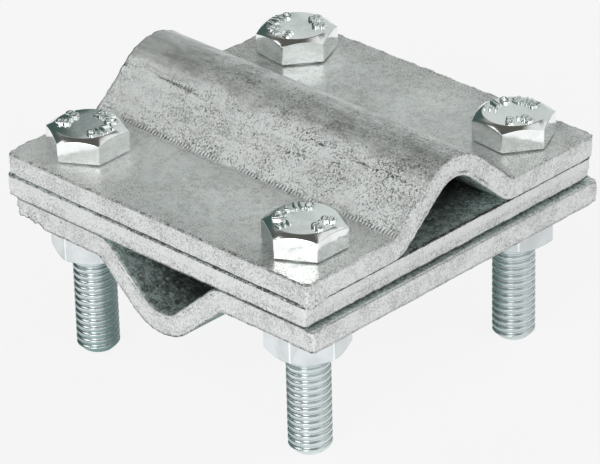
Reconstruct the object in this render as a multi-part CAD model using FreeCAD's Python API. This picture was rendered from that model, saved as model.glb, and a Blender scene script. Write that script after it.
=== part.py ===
# Cross connector for two round earth conductors that cross at a right angle.
# Two pressed plates, each with one groove, hold a flat plate between them. Four hexagon
# bolts stand in the corners with their nuts underneath. The upper conductor lies along X
# between the top and the middle plate, the lower one along Y between the middle and the
# bottom plate. The origin is the middle of the bolt pattern, at the level of the bolt ends.
import FreeCAD
import Part

import math
import os

# Plates, in millimetres
PLATE_SIDE = 55.3
PLATE_THICKNESS = 3.1
PLATE_CORNER_RADIUS = 0.6
ROLLED_EDGE_CHAMFER = 0.15

# Pressed groove: a round crown, two straight walls and two foot bends
GROOVE_DEPTH = 7.5
GROOVE_WALL_ANGLE = 41.5
CROWN_INNER_RADIUS = 4.3
FOOT_INNER_RADIUS = 1.0

# Bolt axes, measured in from the plates' edges, and the holes that clear the bolts
BOLT_EDGE_DISTANCE = 7.65
BOLT_HOLE_DIAMETER = 7.6

# Hexagon bolts
BOLT_DIAMETER = 5.9
BOLT_LENGTH = 30.0
BOLT_TIP_CHAMFER = 0.8
HEX_ACROSS_FLATS = 10.0
HEAD_HEIGHT = 4.0
BEARING_FACE_DIAMETER = 9.0
BEARING_FACE_HEIGHT = 0.2

# Hexagon nuts
NUT_HEIGHT = 5.2
THREAD_CLEARANCE = 0.05
NUT_COUNTERSINK = 0.35

# Chamfers of heads and nuts, which leave a round face of these diameters at the end
HEX_CHAMFER_ANGLE = 30.0
HEAD_CHAMFER_DIAMETER = 9.0
NUT_CHAMFER_DIAMETER = 9.5

# Seams that the rough zinc coat leaves between the plates
UPPER_SEAM = 0.2
LOWER_SEAM = 0.35

# Where each plate has settled within the play of its holes, along X and Y
TOP_PLATE_DRIFT = (0.2, -0.3)
MIDDLE_PLATE_DRIFT = (-0.25, -0.35)
BOTTOM_PLATE_DRIFT = (0.55, 0.25)

# Corners of the bolt pattern, as signs along X and Y
CORNERS = {"front": (1, -1), "left": (-1, -1), "back": (-1, 1), "right": (1, 1)}

# Angle from +X to the first corner of each hexagon, as the spanner left it
HEAD_TURN = {"front": 30.0, "left": 32.0, "back": 53.0, "right": 55.0}
NUT_TURN = {"front": 50.0, "left": 36.0, "back": 8.0, "right": 18.0}

# Distance between neighbouring bolts, and the heights that follow from the sizes above
BOLT_SPACING = PLATE_SIDE - 2 * BOLT_EDGE_DISTANCE
TOP_PLATE_UPPER_FACE = BOLT_LENGTH
TOP_PLATE_LOWER_FACE = TOP_PLATE_UPPER_FACE - PLATE_THICKNESS
MIDDLE_PLATE_UPPER_FACE = TOP_PLATE_LOWER_FACE - UPPER_SEAM
MIDDLE_PLATE_LOWER_FACE = MIDDLE_PLATE_UPPER_FACE - PLATE_THICKNESS
BOTTOM_PLATE_UPPER_FACE = MIDDLE_PLATE_LOWER_FACE - LOWER_SEAM
BOTTOM_PLATE_LOWER_FACE = BOTTOM_PLATE_UPPER_FACE - PLATE_THICKNESS

# Probe step for telling one face of a plate from the other, and a margin for cutting tools
PROBE = 0.05
MARGIN = 1.0

X_AXIS = FreeCAD.Vector(1, 0, 0)
Z_AXIS = FreeCAD.Vector(0, 0, 1)
ORIGIN = FreeCAD.Vector(0, 0, 0)


def corner_position(corner):
    """Bolt axis of a named corner, at height zero."""
    sign_x, sign_y = CORNERS[corner]
    return FreeCAD.Vector(sign_x * BOLT_SPACING / 2, sign_y * BOLT_SPACING / 2, 0)


def half_skin(offset):
    """Edges of one face of the pressed sheet, from the crown to the free end at +Y.

    The sheet's mid-surface lies at height zero on the flange. The face stands off from it
    by the offset, upwards if that is positive.
    """
    angle = math.radians(GROOVE_WALL_ANGLE)
    crown = CROWN_INNER_RADIUS + PLATE_THICKNESS / 2
    foot = FOOT_INNER_RADIUS + PLATE_THICKNESS / 2
    wall = (GROOVE_DEPTH - (crown + foot) * (1 - math.cos(angle))) / math.sin(angle)
    foot_start = (crown + foot) * math.sin(angle) + wall * math.cos(angle)

    def on_crown(turn):
        reach = crown + offset
        return FreeCAD.Vector(0, reach * math.sin(turn), GROOVE_DEPTH - crown + reach * math.cos(turn))

    def on_foot(turn):
        reach = foot - offset
        return FreeCAD.Vector(0, foot_start - reach * math.sin(turn), foot - reach * math.cos(turn))

    free_end = FreeCAD.Vector(0, PLATE_SIDE / 2, offset)
    return [
        Part.Arc(on_crown(0), on_crown(angle / 2), on_crown(angle)).toShape(),
        Part.LineSegment(on_crown(angle), on_foot(angle)).toShape(),
        Part.Arc(on_foot(angle), on_foot(angle / 2), on_foot(0)).toShape(),
        Part.LineSegment(on_foot(0), free_end).toShape(),
    ]


def pressed_section():
    """Closed section of the grooved sheet, across the groove."""
    half = PLATE_THICKNESS / 2
    right = half_skin(half) + half_skin(-half)
    left = [edge.mirror(ORIGIN, FreeCAD.Vector(0, 1, 0)) for edge in right]
    ends = []
    for side in (-1, 1):
        upper = FreeCAD.Vector(0, side * PLATE_SIDE / 2, half)
        lower = FreeCAD.Vector(0, side * PLATE_SIDE / 2, -half)
        ends.append(Part.LineSegment(upper, lower).toShape())
    return Part.Face(Part.Wire(Part.__sortEdges__(right + left + ends)))


def blank_outline(height):
    """Prism of the sheared blank's outline with its rounded corners, centred on height zero."""
    half = PLATE_SIDE / 2
    block = Part.makeBox(PLATE_SIDE, PLATE_SIDE, 2 * height, FreeCAD.Vector(-half, -half, -height))
    upright = [edge for edge in block.Edges if abs(edge.tangentAt(edge.FirstParameter).z) > 0.5]
    return block.makeFillet(PLATE_CORNER_RADIUS, upright)


def drilled(sheet):
    """The sheet with a clearance hole in each corner."""
    reach = GROOVE_DEPTH + PLATE_THICKNESS
    for corner in CORNERS:
        start = corner_position(corner) - Z_AXIS * reach
        sheet = sheet.cut(Part.makeCylinder(BOLT_HOLE_DIAMETER / 2, 2 * reach, start))
    return sheet


def lower_rim_edges(sheet):
    """Edges where the blank's outline meets its lower face."""
    half = PLATE_SIDE / 2
    corner = half - PLATE_CORNER_RADIUS
    found = []
    for edge in sheet.Edges:
        middle = edge.valueAt((edge.FirstParameter + edge.LastParameter) / 2)
        beyond = math.hypot(max(abs(middle.x) - corner, 0), max(abs(middle.y) - corner, 0))
        inwards = FreeCAD.Vector(-middle.x, -middle.y, 0) * (PROBE / half)
        metal_above = sheet.isInside(middle + inwards + Z_AXIS * PROBE, PROBE / 10, False)
        metal_below = sheet.isInside(middle + inwards - Z_AXIS * PROBE, PROBE / 10, False)
        on_outline = abs(beyond - PLATE_CORNER_RADIUS) < PROBE / 10
        if on_outline and metal_above and not metal_below:
            found.append(edge)
    return found


def roll_rim(sheet):
    """The shears roll the lower edge over, here as a chamfer, and leave the upper one sharp."""
    return sheet.makeChamfer(ROLLED_EDGE_CHAMFER, lower_rim_edges(sheet))


def grooved_plate():
    """Pressed plate with its groove along X, open downwards, its mid-surface at height zero."""
    section = pressed_section()
    section.translate(X_AXIS * (-PLATE_SIDE / 2))
    sheet = section.extrude(X_AXIS * PLATE_SIDE)
    sheet = sheet.common(blank_outline(2 * GROOVE_DEPTH))
    return drilled(roll_rim(sheet))


def flat_plate():
    """Flat plate with its mid-surface at height zero."""
    return drilled(roll_rim(blank_outline(PLATE_THICKNESS / 2)))


def placed(shape, drift, lower_face):
    """The plate moved sideways by its drift and set with its flange's lower face at a height."""
    moved = shape.copy()
    moved.translate(FreeCAD.Vector(drift[0], drift[1], lower_face + PLATE_THICKNESS / 2))
    return moved


def top_plate():
    """Grooved plate over the upper conductor."""
    return placed(grooved_plate(), TOP_PLATE_DRIFT, TOP_PLATE_LOWER_FACE)


def middle_plate():
    """Flat plate that parts the two conductors."""
    return placed(flat_plate(), MIDDLE_PLATE_DRIFT, MIDDLE_PLATE_LOWER_FACE)


def bottom_plate():
    """The same pressing turned over and a quarter round, under the lower conductor."""
    plate = grooved_plate()
    plate.rotate(ORIGIN, X_AXIS, 180)
    plate.rotate(ORIGIN, Z_AXIS, 90)
    return placed(plate, BOTTOM_PLATE_DRIFT, BOTTOM_PLATE_LOWER_FACE)


def hexagon(bottom, height, turn):
    """Hexagonal prism on the Z axis, with its first corner at the given angle."""
    reach = HEX_ACROSS_FLATS / 2 / math.cos(math.radians(30))
    corners = []
    for step in range(7):
        angle = math.radians(turn + 60 * step)
        corners.append(FreeCAD.Vector(reach * math.cos(angle), reach * math.sin(angle), bottom))
    return Part.Face(Part.makePolygon(corners)).extrude(Z_AXIS * height)


def chamfer_body(bottom, top, face_diameter, both_ends):
    """Round body that chamfers a hexagon's corners at its top, or at both ends."""
    face = face_diameter / 2
    outer = HEX_ACROSS_FLATS / 2 / math.cos(math.radians(30)) + MARGIN
    drop = (outer - face) * math.tan(math.radians(HEX_CHAMFER_ANGLE))
    upper_end = [(0, top), (face, top), (outer, top - drop)]
    lower_end = [(outer, bottom + drop), (face, bottom)] if both_ends else [(outer, bottom)]
    points = upper_end + lower_end + [(0, bottom), (0, top)]
    outline = Part.makePolygon([FreeCAD.Vector(radius, 0, height) for radius, height in points])
    return Part.Face(outline).revolve(ORIGIN, Z_AXIS, 360)


def bolt(corner):
    """Hexagon bolt, head up, threaded part down, with its end at height zero."""
    seat = BOLT_LENGTH
    top = seat + HEAD_HEIGHT
    flats = seat + BEARING_FACE_HEIGHT
    head = hexagon(flats, top - flats, HEAD_TURN[corner])
    head = head.common(chamfer_body(flats, top, HEAD_CHAMFER_DIAMETER, False))
    bearing_face = Part.makeCylinder(BEARING_FACE_DIAMETER / 2, BEARING_FACE_HEIGHT, Z_AXIS * seat)
    radius = BOLT_DIAMETER / 2
    shank = Part.makeCylinder(radius, seat - BOLT_TIP_CHAMFER, Z_AXIS * BOLT_TIP_CHAMFER)
    tip = Part.makeCone(radius - BOLT_TIP_CHAMFER, radius, BOLT_TIP_CHAMFER)
    solid = head.fuse([bearing_face, shank, tip]).removeSplitter()
    solid.translate(corner_position(corner))
    return solid


def nut(corner):
    """Hexagon nut seated under the bottom plate, chamfered and countersunk on both sides."""
    top = BOTTOM_PLATE_LOWER_FACE
    bottom = top - NUT_HEIGHT
    solid = hexagon(bottom, NUT_HEIGHT, NUT_TURN[corner])
    solid = solid.common(chamfer_body(bottom, top, NUT_CHAMFER_DIAMETER, True))
    bore = BOLT_DIAMETER / 2 + THREAD_CLEARANCE
    mouth = bore + NUT_COUNTERSINK
    solid = solid.cut(Part.makeCylinder(bore, NUT_HEIGHT, Z_AXIS * bottom))
    solid = solid.cut(Part.makeCone(mouth, bore, NUT_COUNTERSINK, Z_AXIS * bottom))
    upper_sink = Part.makeCone(bore, mouth, NUT_COUNTERSINK, Z_AXIS * (top - NUT_COUNTERSINK))
    solid = solid.cut(upper_sink)
    solid.translate(corner_position(corner))
    return solid


def export(name, shape):
    """Write one piece as its own STEP file, after making sure that it is one sound solid."""
    solid = shape.Solids[0]
    if len(shape.Solids) != 1 or not solid.isValid():
        raise ValueError(name + " is not one valid solid")
    solid.exportStep("parts/" + name + ".step")


os.makedirs("parts", exist_ok=True)
export("top_plate", top_plate())
export("middle_plate", middle_plate())
export("bottom_plate", bottom_plate())
for name in CORNERS:
    export("bolt_" + name, bolt(name))
    export("nut_" + name, nut(name))
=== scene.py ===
"""Visual model of an earthing cross connector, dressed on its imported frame.

Two pressed plates with a groove each and a flat plate between them carry a rough hot-dip zinc
coat. Four hexagon bolts with raised head marks and rolled threads, and their nuts, are bright
zinc plated. Lengths are in metres, angles in radians unless a name says otherwise.
"""

import logging
import math
from dataclasses import dataclass
from enum import Enum

import bmesh
import bpy
import numpy as np
from mathutils import Euler, Matrix, Vector


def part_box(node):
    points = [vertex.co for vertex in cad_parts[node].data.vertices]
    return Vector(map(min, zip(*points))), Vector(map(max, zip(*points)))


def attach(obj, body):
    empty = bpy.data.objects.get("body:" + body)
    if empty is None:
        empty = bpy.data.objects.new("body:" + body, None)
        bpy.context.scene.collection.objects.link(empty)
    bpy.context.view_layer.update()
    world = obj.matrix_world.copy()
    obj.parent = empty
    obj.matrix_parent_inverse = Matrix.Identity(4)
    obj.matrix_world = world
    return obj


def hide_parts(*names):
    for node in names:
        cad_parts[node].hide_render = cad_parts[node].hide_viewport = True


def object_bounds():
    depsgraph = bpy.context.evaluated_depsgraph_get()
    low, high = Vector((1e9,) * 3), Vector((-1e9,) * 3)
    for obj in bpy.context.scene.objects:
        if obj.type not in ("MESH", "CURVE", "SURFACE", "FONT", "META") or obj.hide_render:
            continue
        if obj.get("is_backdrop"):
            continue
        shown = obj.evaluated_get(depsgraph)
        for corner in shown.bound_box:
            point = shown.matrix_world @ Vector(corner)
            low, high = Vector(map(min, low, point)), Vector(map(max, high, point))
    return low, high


MM = 0.001
SHEET = "sheet"
BEND = "bend"
RIM = "rim"
EDGE = "edge"
LUMP = "lump"
CRUST = "crust"
THREAD = "thread"
CORNER_HIGHLIGHT = "corner_highlight"
HEX_SIDES = 6
HALF_SIDE = math.pi / HEX_SIDES
COLUMNS_PER_SIDE = 14
EASED_EDGE = 0.09 * MM
SHARP_ANGLE = math.radians(22)
FLAT_WEIGHT = 60
MERGE = 0.002 * MM
SLIVER = 0.001 * MM

Colour = tuple[float, float, float, float]
Triple = tuple[float, float, float]
Material = bpy.types.Material
Mesh = bpy.types.Mesh
Object = bpy.types.Object
Socket = bpy.types.NodeSocket

log = logging.getLogger("connector")
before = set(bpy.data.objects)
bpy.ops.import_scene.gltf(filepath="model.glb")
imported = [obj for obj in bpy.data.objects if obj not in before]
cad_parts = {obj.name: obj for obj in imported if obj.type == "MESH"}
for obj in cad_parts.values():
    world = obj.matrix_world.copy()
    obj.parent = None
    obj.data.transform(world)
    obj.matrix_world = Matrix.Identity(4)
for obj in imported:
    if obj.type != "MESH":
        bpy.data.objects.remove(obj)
cad_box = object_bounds()


class Field:
    """Output of a node tree that is reckoned with like a number. Values are fields or plain numbers."""

    def __init__(self, nodes: "Nodes", socket: Socket) -> None:
        """Wrap an output socket of a tree."""
        self.nodes = nodes
        self.socket = socket

    def __add__(self, other: object) -> "Field":
        """Sum with a value."""
        return self.nodes.math("ADD", self, other)

    def __sub__(self, other: object) -> "Field":
        """This less a value."""
        return self.nodes.math("SUBTRACT", self, other)

    def __rsub__(self, other: object) -> "Field":
        """A value less this."""
        return self.nodes.math("SUBTRACT", other, self)

    def __mul__(self, other: object) -> "Field":
        """Product with a value."""
        return self.nodes.math("MULTIPLY", self, other)

    def __truediv__(self, other: object) -> "Field":
        """Quotient by a value."""
        return self.nodes.math("DIVIDE", self, other)

    def __abs__(self) -> "Field":
        """This without its sign."""
        return self.nodes.math("ABSOLUTE", self)

    __radd__ = __add__
    __rmul__ = __mul__

    def at_least(self, limit: object) -> "Field":
        """The larger of this and a value."""
        return self.nodes.math("MAXIMUM", self, limit)

    def at_most(self, limit: object) -> "Field":
        """The smaller of this and a value."""
        return self.nodes.math("MINIMUM", self, limit)

    def ramp(self, start: object, end: object, low: object = 0.0, high: object = 1.0) -> "Field":
        """Map start..end to low..high with eased ends, held beyond both."""
        return self.nodes.filled("ShaderNodeMapRange", {"interpolation_type": "SMOOTHSTEP"},
                                 self, start, end, low, high)

    def between(self, low: object, high: object) -> "Field":
        """Blend evenly from one value at 0 to another at 1."""
        return self.nodes.filled("ShaderNodeMapRange", {"interpolation_type": "LINEAR"}, self, 0.0, 1.0, low, high)

    def line(self, middle: object, core: float, reach: float, level: float = 1.0) -> "Field":
        """A level where this is near a middle, full within the core and gone beyond the reach."""
        return abs(self - middle).ramp(core, reach, level, 0.0)


class Nodes:
    """Adds and links the nodes of one shader, world or geometry tree."""

    def __init__(self, tree: bpy.types.NodeTree) -> None:
        """Take over a tree, emptied."""
        self.tree = tree
        tree.nodes.clear()

    def add(self, kind: str, settings: dict | None = None, **inputs: object) -> bpy.types.Node:
        """Add one node.

        Args:
            kind: The node's type name.
            settings: Attributes of the node, set before its inputs.
            inputs: Values or output sockets by input name, with underscores for spaces.

        Returns:
            The new node.
        """
        node = self.tree.nodes.new(kind)
        for name, value in (settings or {}).items():
            setattr(node, name, value)
        for name, value in inputs.items():
            self.plug(node.inputs[name.replace("_", " ")], value)
        return node

    def plug(self, socket: Socket, value: object) -> None:
        """Link a field or an output socket to an input, or set the input's own value.

        Args:
            socket: The input.
            value: A field, a socket, a number or a vector.
        """
        value = value.socket if isinstance(value, Field) else value
        if isinstance(value, Socket):
            self.tree.links.new(value, socket)
        else:
            socket.default_value = value

    def field(self, kind: str, output: int | str = 0, **inputs: object) -> Field:
        """One output of a new node."""
        return Field(self, self.add(kind, **inputs).outputs[output])

    def filled(self, kind: str, settings: dict, *values: object, output: int | str = 0) -> Field:
        """One output of a new node whose inputs take values in their order.

        Args:
            kind: The node's type name.
            settings: Attributes of the node.
            values: Its inputs' values.
            output: Index or name of the output.

        Returns:
            The output.
        """
        node = self.add(kind, settings)
        for socket, value in zip(node.inputs, values):
            self.plug(socket, value)
        return Field(self, node.outputs[output])

    def math(self, operation: str, *values: object) -> Field:
        """Result of a Math node."""
        return self.filled("ShaderNodeMath", {"operation": operation}, *values)

    def vector_math(self, operation: str, *values: object, output: str = "Vector") -> Field:
        """Result of a Vector Math node."""
        return self.filled("ShaderNodeVectorMath", {"operation": operation}, *values, output=output)

    def dot(self, first: object, second: object) -> Field:
        """Dot product of two vectors."""
        return self.vector_math("DOT_PRODUCT", first, second, output="Value")

    def scaled(self, vector: object, factor: object) -> Field:
        """A vector times a number.

        Args:
            vector: The vector.
            factor: The number.

        Returns:
            The product.
        """
        node = self.add("ShaderNodeVectorMath", {"operation": "SCALE"}, Scale=factor)
        self.plug(node.inputs[0], vector)
        return Field(self, node.outputs["Vector"])

    def axes(self, vector: object) -> list[Field]:
        """The three parts of a vector."""
        return [Field(self, socket) for socket in self.add("ShaderNodeSeparateXYZ", Vector=vector).outputs]

    def noise(self, vector: object, feature_mm: float, detail: float, roughness: float, distortion: float,
              offset: object) -> Field:
        """Noise of 0 to 1 with features of the given size, moved by an offset for another draw.

        Args:
            vector: Coordinates in metres.
            feature_mm: Size of the features.
            detail: Octaves.
            roughness: Share of each finer octave.
            distortion: How much the features are bent.
            offset: Place in the fourth dimension, another for each draw.

        Returns:
            The noise.
        """
        node = self.add("ShaderNodeTexNoise", {"noise_dimensions": "4D"}, Vector=vector, W=offset,
                        Scale=per(feature_mm), Detail=detail, Roughness=roughness, Distortion=distortion)
        return Field(self, node.outputs[0])

    def blend(self, factor: object, first: object, second: object) -> Field:
        """Colour between two colours.

        Args:
            factor: 0 for the first and 1 for the second.
            first: A colour.
            second: Another.

        Returns:
            The colour.
        """
        node = self.add("ShaderNodeMix", {"data_type": "RGBA"})
        for index, value in ((0, factor), (6, first), (7, second)):
            self.plug(node.inputs[index], value)
        return Field(self, node.outputs[2])

    def attribute(self, name: str, output: str = "Fac") -> Field:
        """Stored attribute in a shader tree."""
        return Field(self, self.add("ShaderNodeAttribute", {"attribute_name": name}).outputs[output])

    def stored(self, name: str, kind: str = "FLOAT") -> Field:
        """Stored attribute in a geometry tree."""
        node = self.add("GeometryNodeInputNamedAttribute", {"data_type": kind}, Name=name)
        return Field(self, next(socket for socket in node.outputs if socket.enabled and socket.name == "Attribute"))

    def mixed(self, factor: object, first: object, second: object) -> Field:
        """Shader between two shaders."""
        return self.filled("ShaderNodeMixShader", {}, factor, first, second)

    def surface(self, colour: object, metal: object, roughness: object, height: object) -> None:
        """End a material's tree on a surface with a bump whose height is in millimetres.

        Args:
            colour: Base colour.
            metal: Share of metal.
            roughness: Its roughness.
            height: The bump's height.
        """
        bump = self.field("ShaderNodeBump", Strength=1.0, Distance=MM, Height=height)
        shader = self.field("ShaderNodeBsdfPrincipled", Base_Color=colour, Metallic=metal, Roughness=roughness,
                            Normal=bump)
        self.add("ShaderNodeOutputMaterial", Surface=shader)


def per(feature_mm: float) -> float:
    """Texture scale, per metre, of features of the given size in millimetres."""
    return 1 / (feature_mm * MM)


def grey(level: float) -> Colour:
    """A plain grey."""
    return (level, level, level, 1.0)


def new_material(name: str) -> tuple[Material, Nodes]:
    """A new material and its emptied tree.

    Args:
        name: The material's name.

    Returns:
        The material and its nodes.
    """
    material = bpy.data.materials.new(name)
    material.use_nodes = True
    return material, Nodes(material.node_tree)


@dataclass(frozen=True)
class HotDipZinc:
    """Hot-dip zinc coat of the plates: cloudy and half glossy, grainy on bends, pale on sheared rims.

    The places are lengths along the sheet from the groove's middle.
    """

    seed: float
    press_run: Triple = (1.0, 1.0, 1.0)
    slot: str = "galvanised_plate"
    dark: float = 0.84
    light: float = 0.98
    bent_dark: float = 0.62
    bent_light: float = 0.86
    rim_level: float = 0.84
    band_level: float = 0.0
    darkest: float = 0.06
    brightest: float = 0.97
    metal: float = 0.62
    dull_metal: float = 0.12
    rough_metal: float = 0.62
    gloss: float = 0.16
    dull: float = 0.30
    rough_dull: float = 0.40
    dull_side: Triple = (0.8, 0.35, 0.0)
    both_hidden: bool = False
    # Depth of the painted shade in the seams.
    seam_shade: float = 0.0
    crown_place: float = 4.0 * MM
    dash_place: float = 5.2 * MM
    ledge_place: float = 6.0 * MM
    hatch_place: float = 12.6 * MM
    hatch_pitch: float = 0.55 * MM
    hatch_height: float = 0.08
    tints: tuple[Colour, Colour] = ((1.0, 1.0, 0.975, 1.0), (0.98, 1.0, 0.99, 1.0))
    # Tint of the painted shade between the plates.
    inside_shade_tint: Colour = (0.86, 1.0, 0.97, 1.0)
    rim_tint: Colour = (0.99, 0.99, 0.995, 1.0)

    def build(self) -> Material:
        """Build the material."""
        return Coat(self).build()


class Coat:
    """Shader of one plate's zinc coat, in parts that share its noises and its marks on the sheet."""

    def __init__(self, finish: HotDipZinc) -> None:
        """Add the coordinates, marks and noises.

        Args:
            finish: The coat's levels, tints and places.
        """
        self.finish = finish
        self.material, self.nodes = new_material("hot dip zinc %d" % round(finish.seed))
        nodes = self.nodes
        self.place = nodes.field("ShaderNodeTexCoord", "Object")
        self.x, self.y, _ = nodes.axes(self.place)
        self.along, self.length, self.through = nodes.axes(nodes.attribute(SHEET, "Vector"))
        self.bend, self.rim, self.edge, self.crust = (nodes.attribute(name) for name in (BEND, RIM, EDGE, CRUST))
        self.clouds = self.noise(10.0, 4.0, 0.55, 0.4, 0)
        self.patches = self.noise(3.4, 4.0, 0.6, 0.8, 3)
        self.mottle = self.noise(0.8, 3.0, 0.65, 0.4, 5)
        self.grain = self.noise(0.40, 3.0, 0.65, 0.3, 7)
        self.grit = self.noise(0.20, 2.0, 0.6, 0.0, 9)
        pressed = nodes.vector_math("MULTIPLY", self.place, finish.press_run)
        self.streaks = nodes.noise(pressed, 0.9, 4.0, 0.65, 0.3, finish.seed + 11)
        self.cloudy = (self.clouds * 0.5 + self.patches * 0.5).ramp(0.38, 0.62)
        self.pits = self.grit.ramp(0.30, 0.40, 1.0, 0.0)
        self.dullness = (nodes.dot(self.place, finish.dull_side) + self.clouds * (12 * MM)).ramp(
            -22 * MM, -2 * MM, 1.0, 0.0)
        self.outwards = abs(self.x).at_least(abs(self.y))
        self.near_edge = self.outwards.ramp(20 * MM, 27 * MM)
        self.outside = self.through.ramp(0.85, 0.95)
        side = abs(self.through) if finish.both_hidden else self.through * -1.0
        self.turned_in = side.ramp(0.75, 0.95, 0.0, 0.9)

    def noise(self, feature_mm: float, detail: float, roughness: float, distortion: float, draw: int) -> Field:
        """Noise over the plate, with a draw of its own."""
        return self.nodes.noise(self.place, feature_mm, detail, roughness, distortion, self.finish.seed + draw)

    def build(self) -> Material:
        """End the tree on its surface.

        Returns:
            The finished material.
        """
        finish, nodes = self.finish, self.nodes
        specks, hatching = self.specks(), self.hatching()
        ragged = self.outwards + self.grain.ramp(0.35, 0.65, -0.6 * MM, 0.6 * MM)
        # Painted shade on the faces turned in between the plates and inside the groove, fading out at the rims.
        hidden = self.turned_in * ragged.ramp(26.8 * MM, 28.3 * MM, 1.0, 0.1)
        level = self.bend.between(self.flat_level(), self.bent_level())
        level = self.rim.between(hidden.between(level, self.inside_shade_level()), self.rim_level())
        # Painted shade joins the level here: dark chips along the upper edge and dark lines in the seams.
        level = level + self.edge_shade_chips() + specks * 0.55 + hatching * 2.4 + self.seam_shade() + self.foot_lines()
        tint = nodes.blend(self.patches.ramp(0.4, 0.6), *finish.tints)
        tint = nodes.blend(self.rim, nodes.blend(hidden, tint, finish.inside_shade_tint), finish.rim_tint)
        colour = nodes.scaled(tint, level.at_least(finish.darkest).at_most(finish.brightest))
        rough = self.bend.at_least(self.rim)
        metal = rough.between(self.dullness.between(finish.metal, finish.dull_metal), finish.rough_metal)
        roughness = (self.clouds.ramp(0.35, 0.65, finish.dull, finish.gloss) + self.dullness * 0.10
                     + self.near_edge * 0.11 + self.y.ramp(0.0, 10 * MM, 0.0, 0.08))
        roughness = rough.ramp(0.0, 1.0, roughness, finish.rough_dull)
        nodes.surface(colour, metal, roughness, self.height(rough * 0.6, specks, hatching))
        return self.material

    def height(self, grainy: Field, specks: Field, hatching: Field) -> Field:
        """Height of the coat in millimetres.

        Args:
            grainy: Share of the rough skin.
            specks: The raised specks.
            hatching: The press marks.

        Returns:
            The height.
        """
        return (self.noise(2.6, 2.0, 0.5, 0.0, 13) * 0.030 + self.mottle * grainy.ramp(0.0, 1.0, 0.014, 0.070)
                + self.grain * grainy.ramp(0.0, 1.0, 0.008, 0.090) + self.grit * grainy.ramp(0.0, 1.0, 0.006, 0.040)
                + specks * 0.06 + self.rim * (self.grain * 0.15 + self.grit * 0.06)
                + self.mottle * self.crust * 0.35 + hatching)

    def flat_level(self) -> Field:
        """Level of the flat faces, grittier near the rims.

        Returns:
            A level of about 0 to 1.
        """
        return (self.cloudy.ramp(0.0, 1.0, self.finish.dark, self.finish.light) + self.dullness * 0.05
                + self.mottle.ramp(0.38, 0.62, -0.14, 0.09)
                + self.grit.ramp(0.42, 0.58, -0.16, 0.11) * (self.near_edge + 1.0) + self.pits * -0.18)

    def bent_level(self) -> Field:
        """Level of the pressed ridge: pale flakes and dark flecks, smoother on the crown and at one end, with painted
        shade towards +Y.

        Returns:
            A level of about 0 to 1.
        """
        finish = self.finish
        smooth_end = self.along.ramp(-24 * MM, -8 * MM, 1.0, 0.0)
        crown = self.length.ramp(finish.crown_place - 0.8 * MM, finish.crown_place + 0.8 * MM, 1.0, 0.0)
        rough = (self.noise(3.2, 2.0, 0.5, 0.5, 19).ramp(0.36, 0.60, 0.35, 1.0)
                 * (smooth_end * -0.45 + 1.0 + crown * -0.50))
        flake = self.noise(0.31, 3.0, 0.65, 0.4, 21)
        flakes = (flake.ramp(0.48, 0.54, 0.0, 0.40) + flake.ramp(0.40, 0.46, -0.40, 0.0)
                  + self.grit.ramp(0.43, 0.57, -0.34, 0.28) + self.mottle.ramp(0.32, 0.40, -0.18, 0.0))
        dashes = (self.length.line(finish.dash_place, 0.15 * MM, 0.35 * MM)
                  * self.streaks.ramp(0.46, 0.50, 1.0, 0.0) * -0.38)
        level = (self.cloudy.ramp(0.0, 1.0, finish.bent_dark, finish.bent_light)
                 + self.streaks.ramp(0.40, 0.60, -0.10, 0.07) + flakes * rough + crown * -0.06 + dashes
                 + self.length.line(finish.ledge_place, 0.15 * MM, 0.55 * MM, 0.14)
                 + self.length.ramp(7.5 * MM, 10.5 * MM, 0.0, 0.10))
        # Painted shade: the bend darkens towards +Y, the side away from the light.
        return level * self.y.ramp(4 * MM, 9 * MM, 1.0, 0.58)

    def rim_level(self) -> Field:
        """Level of the sheared rims, with dark lines along the bend near each face.

        Returns:
            A level of about 0 to 1.
        """
        lines = self.through.line(-0.64, 0.05, 0.12, -0.42) + self.through.line(0.60, 0.05, 0.12, -0.26)
        return (self.through.ramp(-0.05, 0.05) * self.finish.band_level + self.finish.rim_level
                + self.patches.ramp(0.38, 0.62, -0.10, 0.09) + self.grain.ramp(0.40, 0.60, -0.09, 0.11)
                + self.grit.ramp(0.40, 0.60, -0.12, 0.15) + self.pits * -0.30
                + self.mottle.ramp(0.60, 0.66, 0.0, 0.22)
                + lines * self.bend * self.streaks.ramp(0.40, 0.56, 1.0, 0.0)
                + self.crust * self.grain.ramp(0.42, 0.58, -0.24, 0.24))

    def inside_shade_level(self) -> Field:
        """Level of the faces between the plates, in painted shade with pale blotches and flecks, lighter towards the
        groove's ends.

        Returns:
            A level of about 0 to 1.
        """
        blotches = self.noise(1.1, 5.0, 0.75, 0.5, 17)
        flecks = self.noise(0.55, 1.0, 0.5, 0.0, 23)
        level = (blotches.ramp(0.40, 0.58, 0.20, 0.50) + blotches.ramp(0.56, 0.60, 0.0, 0.35)
                 + self.grain.ramp(0.42, 0.58, -0.10, 0.16) + flecks.ramp(0.57, 0.63, 0.0, 0.55))
        return level * self.outwards.ramp(19 * MM, 28 * MM, 0.30, 1.70)

    def edge_shade_chips(self) -> Field:
        """Dark chips of painted shade where the upper edge rounds over, strongest on the side towards -Y.

        Returns:
            What they add to the level.
        """
        front = self.y.ramp(-27.2 * MM, -26.8 * MM, 1.0, 0.3)
        chips = (self.grain * 0.6 + self.mottle * 0.4).ramp(0.45, 0.52, -0.55, 0.0)
        return self.edge * front * self.through.ramp(0.75, 0.95) * chips

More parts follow.
